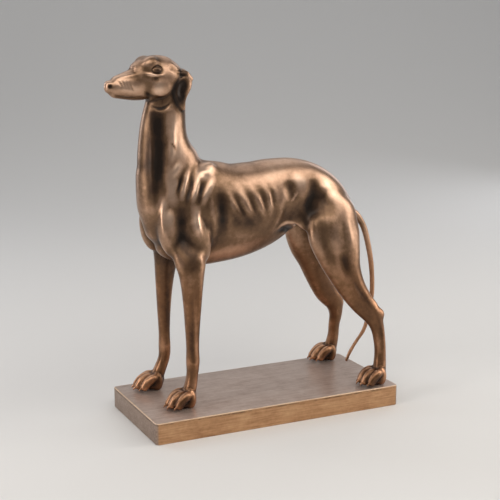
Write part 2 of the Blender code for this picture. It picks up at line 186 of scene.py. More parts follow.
def clayLimb(stations, sides=24, step=2.0):
    # stations are (x, y, z, half depth, half width); width lies across the dog
    run = smoothRun(stations, step)
    way = run[1, :3] - run[0, :3]
    start = roundEnd(run[0], -way / np.linalg.norm(way))
    way = run[-1, :3] - run[-2, :3]
    end = roundEnd(run[-1], way / np.linalg.norm(way))
    rings = np.array(start[::-1] + list(run) + end)
    aim = np.gradient(rings[:, :3], axis=0)
    bpy.ops.object.add(type="MESH", location=(0, 0, 0))
    limb = bpy.context.object
    bpy.ops.object.mode_set(mode="EDIT")
    for (x, y, z, deep, wide), (alongX, alongY, alongZ) in zip(rings, aim):
        spot = (x, y, z)
        bpy.ops.mesh.primitive_circle_add(vertices=sides, radius=1, location=spot)
        bpy.ops.transform.resize(value=(deep, wide, 1), center_override=spot)
        lean = math.atan2(alongX, alongZ)
        bpy.ops.transform.rotate(value=-lean, orient_axis="Y", center_override=spot)
    bpy.ops.mesh.select_all(action="SELECT")
    bpy.ops.mesh.bridge_edge_loops()
    bpy.ops.mesh.select_all(action="DESELECT")
    bpy.ops.mesh.select_non_manifold()
    bpy.ops.mesh.edge_face_add()
    bpy.ops.mesh.select_all(action="SELECT")
    bpy.ops.mesh.normals_make_consistent(inside=False)
    bpy.ops.object.mode_set(mode="OBJECT")
    return limb


def clayEgg(spot, radii, tilt=0, splay=0, turn=0):
    bpy.ops.mesh.primitive_uv_sphere_add(
        segments=clay["eggSegments"],
        ring_count=clay["eggRings"],
        radius=1,
        location=spot,
        rotation=[math.radians(angle) for angle in (splay, tilt, turn)],
    )
    egg = bpy.context.object
    egg.scale = radii
    bpy.ops.object.transform_apply(location=True, rotation=True, scale=True)
    return egg


def joined(pieces):
    bpy.ops.object.select_all(action="DESELECT")
    for piece in pieces:
        piece.select_set(True)
    bpy.context.view_layer.objects.active = pieces[0]
    bpy.ops.object.join()
    return bpy.context.object


def moved(piece, matrix):
    bpy.ops.object.select_all(action="DESELECT")
    piece.select_set(True)
    bpy.context.view_layer.objects.active = piece
    piece.matrix_world = matrix
    bpy.ops.object.transform_apply(location=True, rotation=True, scale=True)
    return piece


# Dog: laid out as its solid is

dog = {
    "coarseGrain": 1.5,
    "fineGrain": 0.75,
    # x, y and turn of each paw
    "paws": ((-79, -25.5, 6), (-87.3, 34.5, -6), (113, -44.1, 4), (108.5, 45.1, -4)),
    "triangles": 196000,
    "layoutHeight": 220.0,
    "withersHeight": 0.220,
    "soleGap": 0.0003,
    "headPivot": (-84.0, 5.0, 298.0),
    "headYaw": 7.0,
    # only points above this height belong to the head
    "headStart": 262,
    "skullRubs": 60,
    "seamRubs": 40,
    # rubs of the trunk, of the legs below it and of the tail behind it
    "trunkStart": 122,
    "trunkRubs": 60,
    "legRubs": 20,
    "tailFrom": 98,
    "tailReach": 8,
    "tailRubs": 6,
    # rubs of the whole dog, before and after it is carved
    "castRubs": 6,
    "carvedRubs": 16,
    "eye": (-16.4, 10.9, 7.3),
    "eyeRadii": (4.6, 3.0, 3.4),
}

torsoProfile = (
    # x, back, belly, half width, keel
    (-99, 198, 158, 12, 0.2),
    (-92, 210, 144, 20, 0.3),
    (-82, 218, 132, 24.5, 0.35),
    (-62, 222, 125, 26, 0.4),
    (-44, 221, 124, 27.5, 0.4),
    (-22, 217.5, 127, 29, 0.35),
    (0, 219, 134, 28.5, 0.3),
    (20, 221, 145, 26, 0.2),
    (38, 220, 155, 23, 0.1),
    (54, 214.5, 160, 22, 0.0),
    (70, 204, 158, 23.5, 0.0),
    (83, 189, 154, 22.5, 0.0),
    (92, 173, 148, 17, 0.0),
)


def midline(x):
    return 3.0 - 0.03 * x


def torsoClay():
    stations = []
    for x, back, belly, width, keel in torsoProfile:
        middle, depth = (back + belly) / 2, (back - belly) / 2
        stations.append((x, midline(x), middle, depth, width))
    trunk = clayLimb(stations, sides=40, step=3.0)
    # the ribs narrow to the breastbone
    x, back, belly, width, keel = np.array(torsoProfile, float).T
    for vertex in trunk.data.vertices:
        middle = np.interp(vertex.co.x, x, (back + belly) / 2)
        depth = np.interp(vertex.co.x, x, (back - belly) / 2)
        low = min(max((middle - vertex.co.z) / depth, 0), 1)
        centre = midline(vertex.co.x)
        narrow = 1 - np.interp(vertex.co.x, x, keel) * low
        vertex.co.y = centre + (vertex.co.y - centre) * narrow
    withers = clayEgg((-57, midline(-57), 213.5), (13, 11, 10.5), tilt=12)
    return joined([trunk, withers])


def neckClay():
    profile = (
        # x, z, half depth, half width
        (-82, 163, 27, 19),
        (-82, 180, 32, 23),
        (-83, 198, 32.5, 21.5),
        (-85, 219, 30.5, 18.5),
        (-87.7, 231, 26.5, 17.2),
        (-89.1, 243, 23.3, 15.6),
        (-88.7, 256, 21.4, 14.4),
        (-86.7, 271, 19.3, 13.5),
        (-84.5, 287, 17.2, 13),
    )
    stations = [(x, midline(x), z, deep, wide) for x, z, deep, wide in profile]
    return clayLimb(stations, sides=36)


def headMatrix():
    turn = Euler((0, 0, math.radians(dog["headYaw"])))
    return Matrix.LocRotScale(Vector(dog["headPivot"]), turn, None)


# Where the lumps of the head are smoothed into it: spot, reach, strength
headSeams = (
    ((-28, 6.5, 11), 15, 2),
    ((-9, 9, 15), 9, 2),
)


def headClay():
    profile = (
        # x, top, bottom, half width, from the pivot behind the eyes
        (-57.5, -1.4, -12.4, 4.8),
        (-54, 1.6, -16.2, 6.0),
        (-48, 3.8, -17.5, 7.2),
        (-39, 7.0, -19.0, 8.6),
        (-34, 8.8, -19.6, 9.8),
        (-30, 11.6, -20.2, 11.0),
        (-26, 16.0, -20.8, 12.0),
        (-19, 19.0, -21.6, 13.6),
        (-9, 19.6, -22.0, 14.6),
        (1, 16.8, -20.5, 14.0),
        (8, 12.8, -16.0, 12.0),
        (13, 7.5, -10.0, 8.5),
    )
    stations = []
    for x, top, low, wide in profile:
        stations.append((x, 0, (top + low) / 2, (top - low) / 2, wide))
    pieces = [clayLimb(stations, sides=36, step=1.5)]
    pieces.append(clayEgg((-57.6, 0, -4.6), (4.2, 5.0, 3.9)))
    for side in (left, right):
        brow = (-20.5, side * 6.6, 11.5)
        pieces.append(clayEgg(brow, (9.5, 6.2, 8.0), tilt=-8, turn=-side * 8))
        pieces.append(clayEgg((-11, side * 10.6, -6), (12, 4.6, 10.5), tilt=-20))
    skull = melted(pieces, dog["fineGrain"])
    rubDown(skull.data, evenly(skull.data, dog["skullRubs"]))
    points = pointsOf(skull.data)
    seams = np.zeros(len(points))
    for (x, y, z), reach, strength in headSeams:
        seams += sum(dent(points, (x, y * side, z), reach, strength) for side in (left, right))
    soften(skull.data, dog["seamRubs"], np.clip(seams, 0, 1))
    ears = [earClay(side) for side in (left, right)]
    return moved(joined([skull] + ears), headMatrix())


def earClay(side):
    # a rose ear: back from the skull, folded over, its tip laid on the neck
    stations = (
        (8.5, side * 11.5, 4.0, 3.2, 2.4),
        (11.5, side * 12.8, 1.0, 5.0, 2.2),
        (10.5, side * 13.4, -5.0, 7.2, 2.0),
        (7.0, side * 13.4, -12.0, 7.4, 1.9),
        (6.5, side * 12.8, -20.0, 5.2, 1.8),
        (9.0, side * 12.0, -28.0, 2.2, 1.4),
    )
    flap = clayLimb(stations, sides=24, step=1.2)
    corner = clayEgg((15.6, side * 12.8, -1.0), (3.6, 2.0, 2.6), tilt=30)
    return joined([flap, corner])


def shoulderClay(side):
    # the right shoulder is carried further forward
    ahead, out = (-4.5, 2.0) if side == right else (0.0, 0.0)
    y = midline(-75) + out
    return [
        clayEgg((-63, y + side * 16.5, 191), (15, 8.5, 35), tilt=28, splay=side * 9),
        clayEgg((-87.5 + ahead, y + side * 16.5, 164), (15, 10, 28), tilt=-4, splay=side * 4),
        clayEgg((-68 + ahead / 2, y + side * 21.5, 154), (15, 8.5, 26), tilt=-12),
    ]


def pawClay(x, y, turn):
    # four arched toes with claws, the pads behind them and the root of the pastern
    pieces = []
    for offset, tip in ((-8.4, -19.5), (-2.9, -23.8), (2.9, -23.8), (8.4, -19.5)):
        toe = (
            (tip + 17.0, offset * 0.70, 11.6, 3.8, 3.3),
            (tip + 12.0, offset * 0.90, 11.8, 4.5, 3.7),
            (tip + 7.2, offset * 1.0, 9.2, 4.6, 3.6),
            (tip + 3.4, offset * 1.05, 4.8, 4.2, 3.4),
        )
        pieces.append(clayLimb(toe, sides=16, step=1.5))
        claw = (
            (tip + 1.6, offset * 1.06, 4.4, 1.3, 1.1),
            (tip - 0.9, offset * 1.07, 3.3, 1.1, 0.9),
            (tip - 1.8, offset * 1.07, 1.9, 0.7, 0.6),
        )
        pieces.append(clayLimb(claw, sides=10, step=0.8))
    pieces.append(clayEgg((-6, 0, 4.4), (9.5, 8.5, 4.8)))
    for side in (left, right):
        pieces.append(clayEgg((-2.6, side * 5.2, 8.0), (5.8, 4.4, 9.5)))
    pieces.append(clayEgg((0, 0, 10), (5.8, 6, 9)))
    angle = Euler((0, 0, math.radians(turn)))
    return moved(joined(pieces), Matrix.LocRotScale(Vector((x, y, 0)), angle, None))


def forelegClay(side):
    shift, slim = (-5.2, 0.9) if side == right else (0.0, 1.0)
    y = 4.5
    stations = (
        (-77 + shift / 2, y + side * 19.0, 154, 17.0, 8.0),
        (-75.2 + shift / 2, y + side * 25.2, 134, 15.4 * slim, 9.0),
        (-74.8 + shift * 0.8, y + side * 27.5, 120, 12.0 * slim, 8.3),
        (-75 + shift, y + side * 28.5, 98, 9.2 * slim, 7.2),
        (-75.5 + shift, y + side * 29, 74, 7.3 * slim, 6.2),
        (-75.5 + shift, y + side * 29, 54, 6.3 * slim, 6.0),
        (-75.5 + shift, y + side * 29, 42, 6.6 * slim, 6.6),
        (-76 + shift, y + side * 29, 31, 5.8, 5.7),
        (-78 + shift * 1.4, y + side * 29.5, 20, 6.0, 6.0),
        (-81 + shift * 1.6, y + side * 30, 10, 6.5, 7.0),
    )
    return clayLimb(stations)


def hindLegClay(side):
    shift, drop, slim = (-4.5, -4.5, 0.9) if side == right else (0.0, 0.0, 1.0)
    y = 0.5
    stations = (
        (69, y + side * 13, 184, 15, 12),
        (72, y + side * 18.5, 168, 24.5, 13.5),
        (71, y + side * 24, 149, 27.5, 12.5),
        (74.5, y + side * 28.5, 128, 23, 11),
        (79, y + side * 32, 111, 17.6 * slim, 9.5),
        (86.2, y + side * 34.5, 95 + drop / 2, 14.2 * slim, 8.4),
        (96.2, y + side * 36, 80 + drop, 12.0, 6.9),
        (106.6, y + side * 37, 68 + drop, 10.4, 6.3),
        (112.3 + shift / 2, y + side * 38.5, 55 + drop, 7.4, 5.8),
        (114 + shift, y + side * 41, 40 + drop / 2, 6.2, 5.4),
        (114 + shift, y + side * 42.5, 26, 6.1, 5.6),
        (112 + shift, y + side * 44.6, 12, 6.8, 6.6),
    )
    hock = clayEgg((115 + shift / 2, y + side * 37.5, 67 + drop), (5.5, 5, 7), tilt=-20)
    flank = (
        (6, side * 11, 153, 6, 3.5),
        (17, side * 14.5, 164, 8, 3.2),
        (28, side * 16.5, 169.5, 9.5, 3.2),
        (38, side * 18.5, 168, 11, 3.2),
        (48, side * 20.5, 160, 11, 3.5),
    )
    rows = [(x, midline(x) + out, z, deep, wide) for x, out, z, deep, wide in flank]
    skin = clayLimb(rows, sides=16)
    # fills the deep corner between the flank and the thigh
    filling = clayEgg((54, midline(54) + side * 19, 170), (9, 4.5, 17))
    return [clayLimb(stations, sides=28), hock, skin, filling]


def tailClay():
    profile = (
        # x, z, radius
        (84, 173, 8.0),
        (94, 166, 5.6),
        (103, 163, 4.4),
        (110.5, 158.5, 3.9),
        (119, 145, 3.5),
        (124.5, 126, 3.2),
        (128, 108, 3.0),
        (129.5, 90, 2.8),
        (129, 72, 2.7),
        (122.5, 44, 2.5),
        (113.5, 31, 2.3),
        (105.8, 20.5, 2.1),
        (101, 11, 1.7),
    )
    return clayLimb([(x, 1, z, r, r) for x, z, r in profile], sides=16)


def sheathClay():
    stations = ((-6, 141.5, 4.5), (6, 145, 4.5), (16, 149, 4.0), (22, 153, 3.0))
    return clayLimb([(x, midline(x), z, r, r) for x, z, r in stations], sides=16)


def melted(pieces, grain):
    # the clay forms become one closed skin
    cast = joined(pieces)
    skin = cast.modifiers.new("oneSkin", "REMESH")
    skin.mode = "VOXEL"
    skin.voxel_size = grain
    bpy.ops.object.modifier_apply(modifier=skin.name)
    return cast


def trunkRubs(points):
    x, y, z = points.T
    rubs = np.where(z > dog["trunkStart"], dog["trunkRubs"], dog["legRubs"])
    onTail = (x > dog["tailFrom"]) & (abs(y) < dog["tailReach"])
    return np.where(onTail, dog["tailRubs"], rubs)


def castClay():
    # trunk and legs are melted coarsely and rubbed smooth, then head and paws are joined on
    pieces = [torsoClay(), neckClay(), tailClay(), sheathClay()]
    for side in (left, right):
        pieces += shoulderClay(side) + [forelegClay(side)] + hindLegClay(side)
    trunk = melted(pieces, dog["coarseGrain"])
    rubDown(trunk.data, trunkRubs(pointsOf(trunk.data)))
    parts = [trunk, headClay()]
    for x, y, turn in dog["paws"]:
        parts.append(pawClay(x, y, turn))
    for part in parts[2:]:
        for vertex in part.data.vertices:
            vertex.co.z = max(vertex.co.z, 0)
    cast = melted(parts, dog["fineGrain"])
    rubDown(cast.data, evenly(cast.data, dog["castRubs"]))
    cast.name = "greyhoundCast"
    cast.data.name = "greyhoundCast"
    return cast


# Carving: points of a mesh as arrays, moved by soft strokes

def pointsOf(mesh, what="co"):
    values = np.empty(len(mesh.vertices) * 3)
    mesh.vertices.foreach_get(what, values)
    return values.reshape(-1, 3)


def setPoints(mesh, points):
    mesh.vertices.foreach_set("co", points.ravel())
    mesh.update()


def edgesOf(mesh):
    ends = np.empty(len(mesh.edges) * 2, int)
    mesh.edges.foreach_get("vertices", ends)
    return ends.reshape(-1, 2)


def neighbourMean(values, ends):
    first, second = ends.T
    count = len(values)
    links = np.bincount(ends.ravel(), minlength=count)
    mean = np.empty_like(values)
    for axis in range(values.shape[1]):
        total = np.bincount(first, values[second, axis], count)
        total += np.bincount(second, values[first, axis], count)
        mean[:, axis] = total / links
    return mean


def evenly(mesh, count):
    return np.full(len(mesh.vertices), count)


def rubDown(mesh, rubs):
    # rubs holds a number for each point
    points = pointsOf(mesh)
    ends = edgesOf(mesh)
    for turn in range(int(rubs.max())):
        strength = clay["rubs"][turn % 2]
        points += (neighbourMean(points, ends) - points) * strength * (rubs > turn)[:, None]
    setPoints(mesh, points)


brush = {
    # points of the line lie this share of its reach apart, but no closer than the least step
    "stepShare": 0.6,
    "leastStep": 1.0,
    # share of the line over which each end fades, and what is left at the tip
    "fade": 0.35,
    "tip": 0.1,
    # a stroke is full where the surface faces the side by more than 1 over this
    "facing": 1.4,
}


def stroke(points, normals, path, reach, height, side):
    # a soft ridge, or a groove where height is negative, drawn on the side view
    line = smoothRun(path, max(reach * brush["stepShare"], brush["leastStep"]))
    low = line.min(axis=0) - reach
    high = line.max(axis=0) + reach
    flat = points[:, [0, 2]]
    inside = (flat > low).all(axis=1) & (flat < high).all(axis=1)
    near = np.flatnonzero(inside & (normals[:, 1] * side > 0))
    lift = np.zeros(len(points))
    gaps = np.full(len(near), np.inf)
    along = np.zeros(len(near))
    steps = len(line) - 1
    for i in range(steps):
        run = line[i + 1] - line[i]
        share = np.clip((flat[near] - line[i]) @ run / (run @ run), 0, 1)
        gap = np.linalg.norm(flat[near] - line[i] - share[:, None] * run, axis=1)
        closer = gap < gaps
        gaps[closer] = gap[closer]
        along[closer] = (i + share[closer]) / steps
    across = np.clip(1 - (gaps / reach) ** 2, 0, 1) ** 2
    taper = np.clip(np.minimum(along, 1 - along) / brush["fade"], brush["tip"], 1)
    facing = np.clip(normals[near, 1] * side * brush["facing"], 0, 1)
    lift[near] = height * across * taper * facing
    return lift


def dent(points, spot, reach, height):
    gaps = np.linalg.norm(points - np.array(spot), axis=1)
    return height * np.clip(1 - (gaps / reach) ** 2, 0, 1) ** 2


# Soft lines of the side view: points of (x, z), reach to either side, height
trunkStrokes = (
    # broad swell of the withers with its faint ring, and the strands that fan down from it
    (((-58, 217), (-56, 207)), 9.0, 1.0),
    (((-61.5, 215.5), (-59.5, 211.5), (-55.5, 210), (-52, 213)), 2.0, -0.6),
    (((-78, 225), (-84, 218), (-89, 210)), 4.4, 1.1),
    (((-71, 218), (-79, 202), (-81.4, 187)), 3.4, 1.5),
    (((-63, 214), (-67, 201), (-73, 186.5)), 3.2, 1.5),
    (((-67, 208), (-76.5, 190)), 2.8, -1.1),
    (((-77, 212), (-85, 195)), 3.0, -1.2),
    (((-60, 207), (-66, 192)), 2.8, -0.9),
    (((-47, 211), (-58, 194), (-63.7, 182)), 4.2, 1.3),
    # rear border of the shoulder and the hollow behind it
    (((-50, 206), (-53.5, 187), (-51, 168), (-50, 150), (-53, 137)), 3.4, 1.1),
    (((-44, 196), (-44, 180), (-43, 165), (-42, 152)), 6.5, -2.0),
    # hollow of the upper arm between two ridges
    (((-90.3, 204), (-97, 185), (-99.5, 171), (-96, 155), (-88, 142)), 3.8, 1.5),
    (((-80.4, 187), (-83.5, 168), (-81, 150), (-78, 138)), 9.0, -1.9),
    (((-68.4, 186), (-68.8, 170), (-67, 156)), 5.0, 1.7),
    (((-60, 176), (-60, 160), (-61, 146)), 4.5, -0.8),
    # ribs and the grooves between them
    (((-39, 197), (-35, 187), (-30, 176), (-22, 165)), 4.2, 1.1),
    (((-28, 201), (-24, 190), (-19, 177), (-11, 165)), 4.2, 1.2),
    (((-16.5, 201.5), (-10.6, 190.7), (-6, 178), (1, 165)), 4.0, 1.1),
    (((-3, 201.6), (1.4, 192), (3, 179), (6, 167)), 3.8, 1.0),
    (((6, 202), (9.5, 191), (11, 180)), 3.4, 0.7),
    (((-32, 194), (-28, 184), (-21, 170)), 3.8, -1.0),
    (((-19.5, 196), (-15, 184), (-9, 170)), 3.6, -0.9),
    (((-7.5, 197), (-3.5, 186), (0, 173)), 3.2, -0.8),
    (((4, 197), (6.5, 186), (8, 175)), 3.0, -0.5),
    # edge of the rib cage, flank and the hollow in front of the thigh
    (((15, 190), (15.5, 175), (11, 160), (3, 150)), 5.0, 1.0),
    (((24, 202), (26, 192), (31, 180)), 9.0, -1.5),
    (((51, 203), (50, 188), (47, 172), (45, 160)), 8.0, -1.7),
    (((58, 199), (64, 188), (72, 174)), 8.0, 1.2),
    (((56, 182), (54, 160), (56, 142), (64, 120)), 6.0, -1.2),
    (((66, 170), (66, 150), (70, 128)), 9.0, 1.0),
    (((80, 168), (82, 150), (84, 132)), 7.0, 0.7),
    (((71, 134), (75, 120), (78, 106)), 6.0, -1.0),
    # raised edge of the flank skin and the hollow under it
    (((11, 152), (17.5, 158.5), (25, 161), (32, 159), (39, 153), (46, 144)), 2.6, 1.2),
    (((16, 152), (24, 154), (31, 151.5), (37, 146)), 4.2, -2.6),
    # neck: the throat groove with a strand in it, and the muscle behind
    (((-98, 266), (-97.5, 244), (-98.5, 222), (-100.5, 202), (-103, 182)), 8.0, -2.6),
    (((-103.5, 262), (-103.3, 244), (-104.7, 212), (-105.4, 180)), 2.8, 1.3),
    (((-84, 264), (-86, 246), (-89, 228), (-92, 212)), 5.0, 1.1),
    # legs: forearm, elbow, calf, tendon above the hock and rear pastern
    (((-73, 130), (-74.5, 95), (-75, 56)), 3.2, -1.1),
    (((-80, 130), (-80, 100), (-79, 66)), 3.0, 0.8),
    (((-67, 128), (-69, 100), (-71, 70)), 2.6, 0.7),
    (((-66, 141), (-70, 133)), 4.0, 1.0),
    (((-80, 44), (-76, 40), (-72, 43)), 3.0, 0.7),
    (((82, 108), (89, 95), (100, 80)), 3.4, -1.3),
    (((99, 100), (106, 87), (113, 74)), 2.4, 1.0),
    (((113, 60), (114, 40), (114, 26)), 2.4, -0.9),
    (((109, 56), (110.5, 40), (110.5, 26)), 2.0, 0.6),
)

# The same in the head's own axes, where the muzzle points to -X
headStrokes = (
    # upper lid, the bright edge under the eye and the hollow below it
    (((-23, 6.6), (-20.5, 10.2), (-16, 11.6), (-12, 10.2), (-9.8, 5.4)), 1.5, 0.6),
    (((-29, 4.6), (-24, 3.8), (-17, 3.0), (-11, 3.2)), 1.7, 1.1),
    (((-23, 0.2), (-16, -0.6)), 3.0, -0.5),
    # temple
    (((-6, 10), (-1, 8), (3, 4)), 4.0, -0.7),
    # muzzle edge, mouth, cheek crease
    (((-52, 1.6), (-46, 2.2), (-40.9, 3.0), (-31, 4.4)), 2.2, 0.5),
    (
        ((-57.5, -11.3), (-55, -12.9), (-51.5, -14.6), (-44, -16), (-36, -16.4), (-30, -15.6)),
        1.2,
        -0.6,
    ),
    (((-28.5, -11.6), (-25, -13.6), (-21, -16.2), (-16.6, -19.5)), 2.2, -0.9),
    # throat folds
    (((-21, -23.5), (-14, -26.5), (-8, -25), (-3, -20)), 2.2, -1.1),
    (((-20, -27.5), (-13, -29.6), (-5, -26), (-0.9, -20.6)), 2.2, 0.6),
    # hollow of the ear inside its rim
    (((9.5, 0), (7.5, -6), (5.5, -13), (7, -21)), 4.8, -1.9),
)

# Creases where the whiskers grow: the first, and how far its points shift for the next
whiskers = {
    "count": 4,
    "path": ((-52, 0.5), (-50, -3.5), (-47.5, -8)),
    "steps": ((3.4, -0.8), (3.4, -1), (3.4, -1)),
    "reach": 1.3,
    "height": -0.65,
}

# Dents and one small lump in the head's axes, mirrored: spot, reach, height
headDents = (
    ((-58.2, 3.4, -5.8), 2.0, -1.7),
    ((-60, 1.2, -8.6), 2.2, -0.5),
    ((-16.4, 13.0, 7.4), 8.0, -1.5),
    ((4.8, 12.5, 4.4), 2.2, 0.9),
)


def headAxes(points, normals):
    toHead = np.array(headMatrix().inverted())
    return points @ toHead[:3, :3].T + toHead[:3, 3], normals @ toHead[:3, :3].T


def carve(mesh):
    points = pointsOf(mesh)
    normals = pointsOf(mesh, "normal")
    lift = np.zeros(len(points))
    headPoints, headNormals = headAxes(points, normals)
    onHead = points[:, 2] > dog["headStart"]
    for side in (left, right):
        thisSide = (points[:, 1] - midline(points[:, 0])) * side > 0
        for path, reach, height in trunkStrokes:
            lift += stroke(points, normals, path, reach, height, side) * thisSide
        for path, reach, height in headStrokes:
            lift += stroke(headPoints, headNormals, path, reach, height, side) * onHead
        for (x, y, z), reach, height in headDents:
            lift += dent(headPoints, (x, y * side, z), reach, height)
        for i in range(whiskers["count"]):
            path = np.array(whiskers["path"]) + np.array(whiskers["steps"]) * i
            reach, height = whiskers["reach"], whiskers["height"]
            lift += stroke(headPoints, headNormals, path, reach, height, side) * onHead
    setPoints(mesh, points + normals * lift[:, None])


def soften(mesh, turns, share):
    points = pointsOf(mesh)
    ends = edgesOf(mesh)
    for turn in range(turns):
        points += (neighbourMean(points, ends) - points) * clay["softRub"] * share[:, None]
    setPoints(mesh, points)


softening = {
    # paws keep their tool marks up to here, and then they fade out over this height
    "pawTop": 20,
    "pawFade": 6,
    # above here the head keeps most of them
    "headStart": 264,
    "headFade": 4,
    "headShare": 0.12,
}


def trunkShare(points):
    # where the tool marks are smoothed: the trunk and legs, and the head a little
    height = points[:, 2]
    offPaws = np.clip((height - softening["pawTop"]) / softening["pawFade"], 0, 1)
    offHead = (softening["headStart"] - height) / softening["headFade"]
    return offPaws * np.clip(offHead, softening["headShare"], 1)


def addEyes(cast):
    x, y, z = dog["eye"]
    eyes = [clayEgg((x, y * side, z), dog["eyeRadii"]) for side in (left, right)]
    return joined([cast, moved(joined(eyes), headMatrix())])


def thinned(cast):
    faces = sum(len(face.vertices) - 2 for face in cast.data.polygons)
    fewer = cast.modifiers.new("fewerFaces", "DECIMATE")
    fewer.ratio = min(1.0, dog["triangles"] / faces)
    bpy.context.view_layer.objects.active = cast
    bpy.ops.object.modifier_apply(modifier=fewer.name)


# Painted shade, with some patina and two real marks: dark lines of the side view in the
# hollows, throat, legs and paws, and the neck seam and a scratch, each with reach and strength
shadeStrokes = (
    (((-102, 264), (-101, 240), (-102, 215), (-104, 184)), 15, 0.9),
    (((-101, 276), (-100, 264), (-99.5, 250), (-100, 234)), 11, 1.0),
    (((-108, 254.6), (-100, 254), (-92, 254.4)), 1.8, 1.6),
    (((-88.2, 241.7), (-82.4, 234.4)), 1.6, 1.6),
    (((-102, 232), (-103, 215), (-105, 198), (-106, 180)), 9, 0.9),
    (((-100, 6), (-76, 8)), 17, 0.6),
    (((88, 6), (113, 8)), 17, 0.6),
    (((-76, 152), (-76, 118)), 12, 0.7),
    (((-43, 204), (-43, 180), (-42, 152)), 11, 0.6),
    (((-81, 188), (-84, 168), (-81, 146), (-76, 132)), 13, 0.55),
    (((-66, 212), (-72, 198), (-78, 184)), 4, 1.1),
    (((-76, 216), (-81, 204), (-87, 190)), 4, 1.1),
    (((-58, 208), (-64, 194), (-69, 182)), 4, 0.8),
    (((-40, 182), (-28, 170), (-14, 165), (0, 166)), 13, 0.5),
    (((24, 204), (27, 192), (33, 178)), 10, 0.2),
    (((52, 204), (50, 188), (48, 170), (52, 146)), 12, 0.6),
    (((62, 192), (62, 165), (64, 136)), 12, 0.35),
    (((73, 134), (76, 110)), 9, 0.4),
    (((30, 170), (42, 164), (52, 150)), 9, 0.5),
    (((17, 151), (24, 154), (31, 151), (37, 146)), 4.5, 1.0),
    (((-76, 136), (-76, 90), (-76, 30)), 15, 0.22),
    (((78, 120), (96, 84), (112, 62), (114, 24)), 16, 0.22),
    (((-80, 128), (-79, 90), (-78, 40), (-82, 22)), 5, 0.5),
    (((-67, 120), (-70, 80), (-72, 44)), 4, 0.3),
    (((85, 104), (92, 92), (102, 78), (112, 62), (114, 30)), 5, 0.4),
)

# The same in the head's axes: socket, ear, throat, cheek, forehead and under the eye
headShades = (
    (((-20, 7), (-16.5, 9), (-11.5, 6.5)), 5.0, 0.7),
    (((9, 2), (6, -6), (3.5, -14), (6, -28)), 9.0, 1.8),
    (((14, 3), (9, 4), (4, 2)), 4.5, 1.8),
    (((-20, -25), (-12, -27), (-4, -22)), 5.0, 0.6),
    (((-28, -12), (-22, -15), (-17, -19)), 2.6, 0.2),
    (((-28, 13), (-22, 16), (-14, 17), (-8, 14)), 8.0, 0.5),
    (((-21, -0.5), (-15, -1.2)), 3.2, 0.5),
)

# Where hands and cloths have brightened it, and painted highlights where the metal catches the
# light
polishAndHighlightStrokes = (
    (((-84, 262), (-83, 244), (-82, 230), (-86, 214)), 13, 1.0),
    (((-85, 278), (-84, 264), (-84, 250), (-84, 236)), 12, 1.0),
    (((-88, 226), (-90.4, 212), (-88, 200), (-92, 180)), 9, 1.4),
    (((-76, 208), (-71, 199), (-70, 186)), 8, 1.0),
    (((-60, 220), (-56, 205)), 13, 1.0),
    (((-76, 226), (-84, 218), (-89, 208)), 9, 1.0),
    (((-102, 204), (-98.8, 188), (-94, 172), (-92, 156)), 8, 1.0),
    (((-71, 218), (-79, 202), (-81.4, 187)), 5, 1.4),
    (((-63, 214), (-67, 201), (-73, 186.5)), 5, 1.4),
    (((-47, 211), (-58, 194), (-63.7, 182)), 5, 1.1),
    (((-90.3, 204), (-97, 185), (-99.5, 171)), 4, 0.5),
    (((-68.4, 190), (-68.8, 170), (-67, 154)), 7, 1.0),
    (((-36, 204), (-12, 204), (10, 205), (34, 207)), 11, 0.25),
    (((28, 206), (37, 200), (44, 192)), 8, 1.0),
    (((-66, 138), (-48, 136), (-20, 138), (2, 146)), 10, 0.8),
    (((58, 206), (66, 192), (78, 172)), 9, 0.7),
    (((26.3, 181.2), (33.9, 189.9)), 1.6, 1.6),
    (((11, 152), (17.5, 158.5), (25, 161), (32, 159), (39, 153), (46, 144)), 3, 1.0),
    (((66, 150), (68, 132), (74, 112), (84, 98)), 6, 0.4),
    (((-74, 120), (-74.5, 90), (-74.5, 40), (-77, 24)), 3.2, 0.6),
    (((98, 100), (106, 86), (113, 72)), 3.5, 0.6),
)

# The same in the head's axes
headPolishAndHighlight = (
    (((-29, 4.6), (-24, 3.8), (-17, 3.0), (-11, 3.2)), 2.4, 1.0),
    (((-54, -3), (-46, -6), (-36, -9), (-26, -9)), 10.0, 1.0),
    (((-24, -8), (-16, -9), (-8, -6)), 12.0, 0.8),
)

# Dark spots of the head, mirrored, added to the painted shade in the eyes and nostrils: spot,
# reach, strength
headSpots = (
    (dog["eye"], 7.0, 1.6),
    ((-58.2, 3.4, -5.8), 2.8, 2.0),
)


def painted(points, normals, trunkLines, headLines):
    # the strongest of the soft lines at each point
    paint = np.zeros(len(points))
    headPoints, headNormals = headAxes(points, normals)
    onHead = points[:, 2] > dog["headStart"]
    for side in (left, right):
        for path, reach, strength in trunkLines:
            paint = np.maximum(paint, stroke(points, normals, path, reach, strength, side))
        for path, reach, strength in headLines:
            line = stroke(headPoints, headNormals, path, reach, strength, side)
            paint = np.maximum(paint, line * onHead)
    return paint


wearAndPaintedLight = {
    # layer, rubs that blur the surface, how far out of that a point has to stand to be bright
    "reliefs": (("fineRelief", 5, 0.25), ("broadRelief", 60, 2.2)),
    "blur": 0.8,
    "paintedTopLightRubs": 12,
}


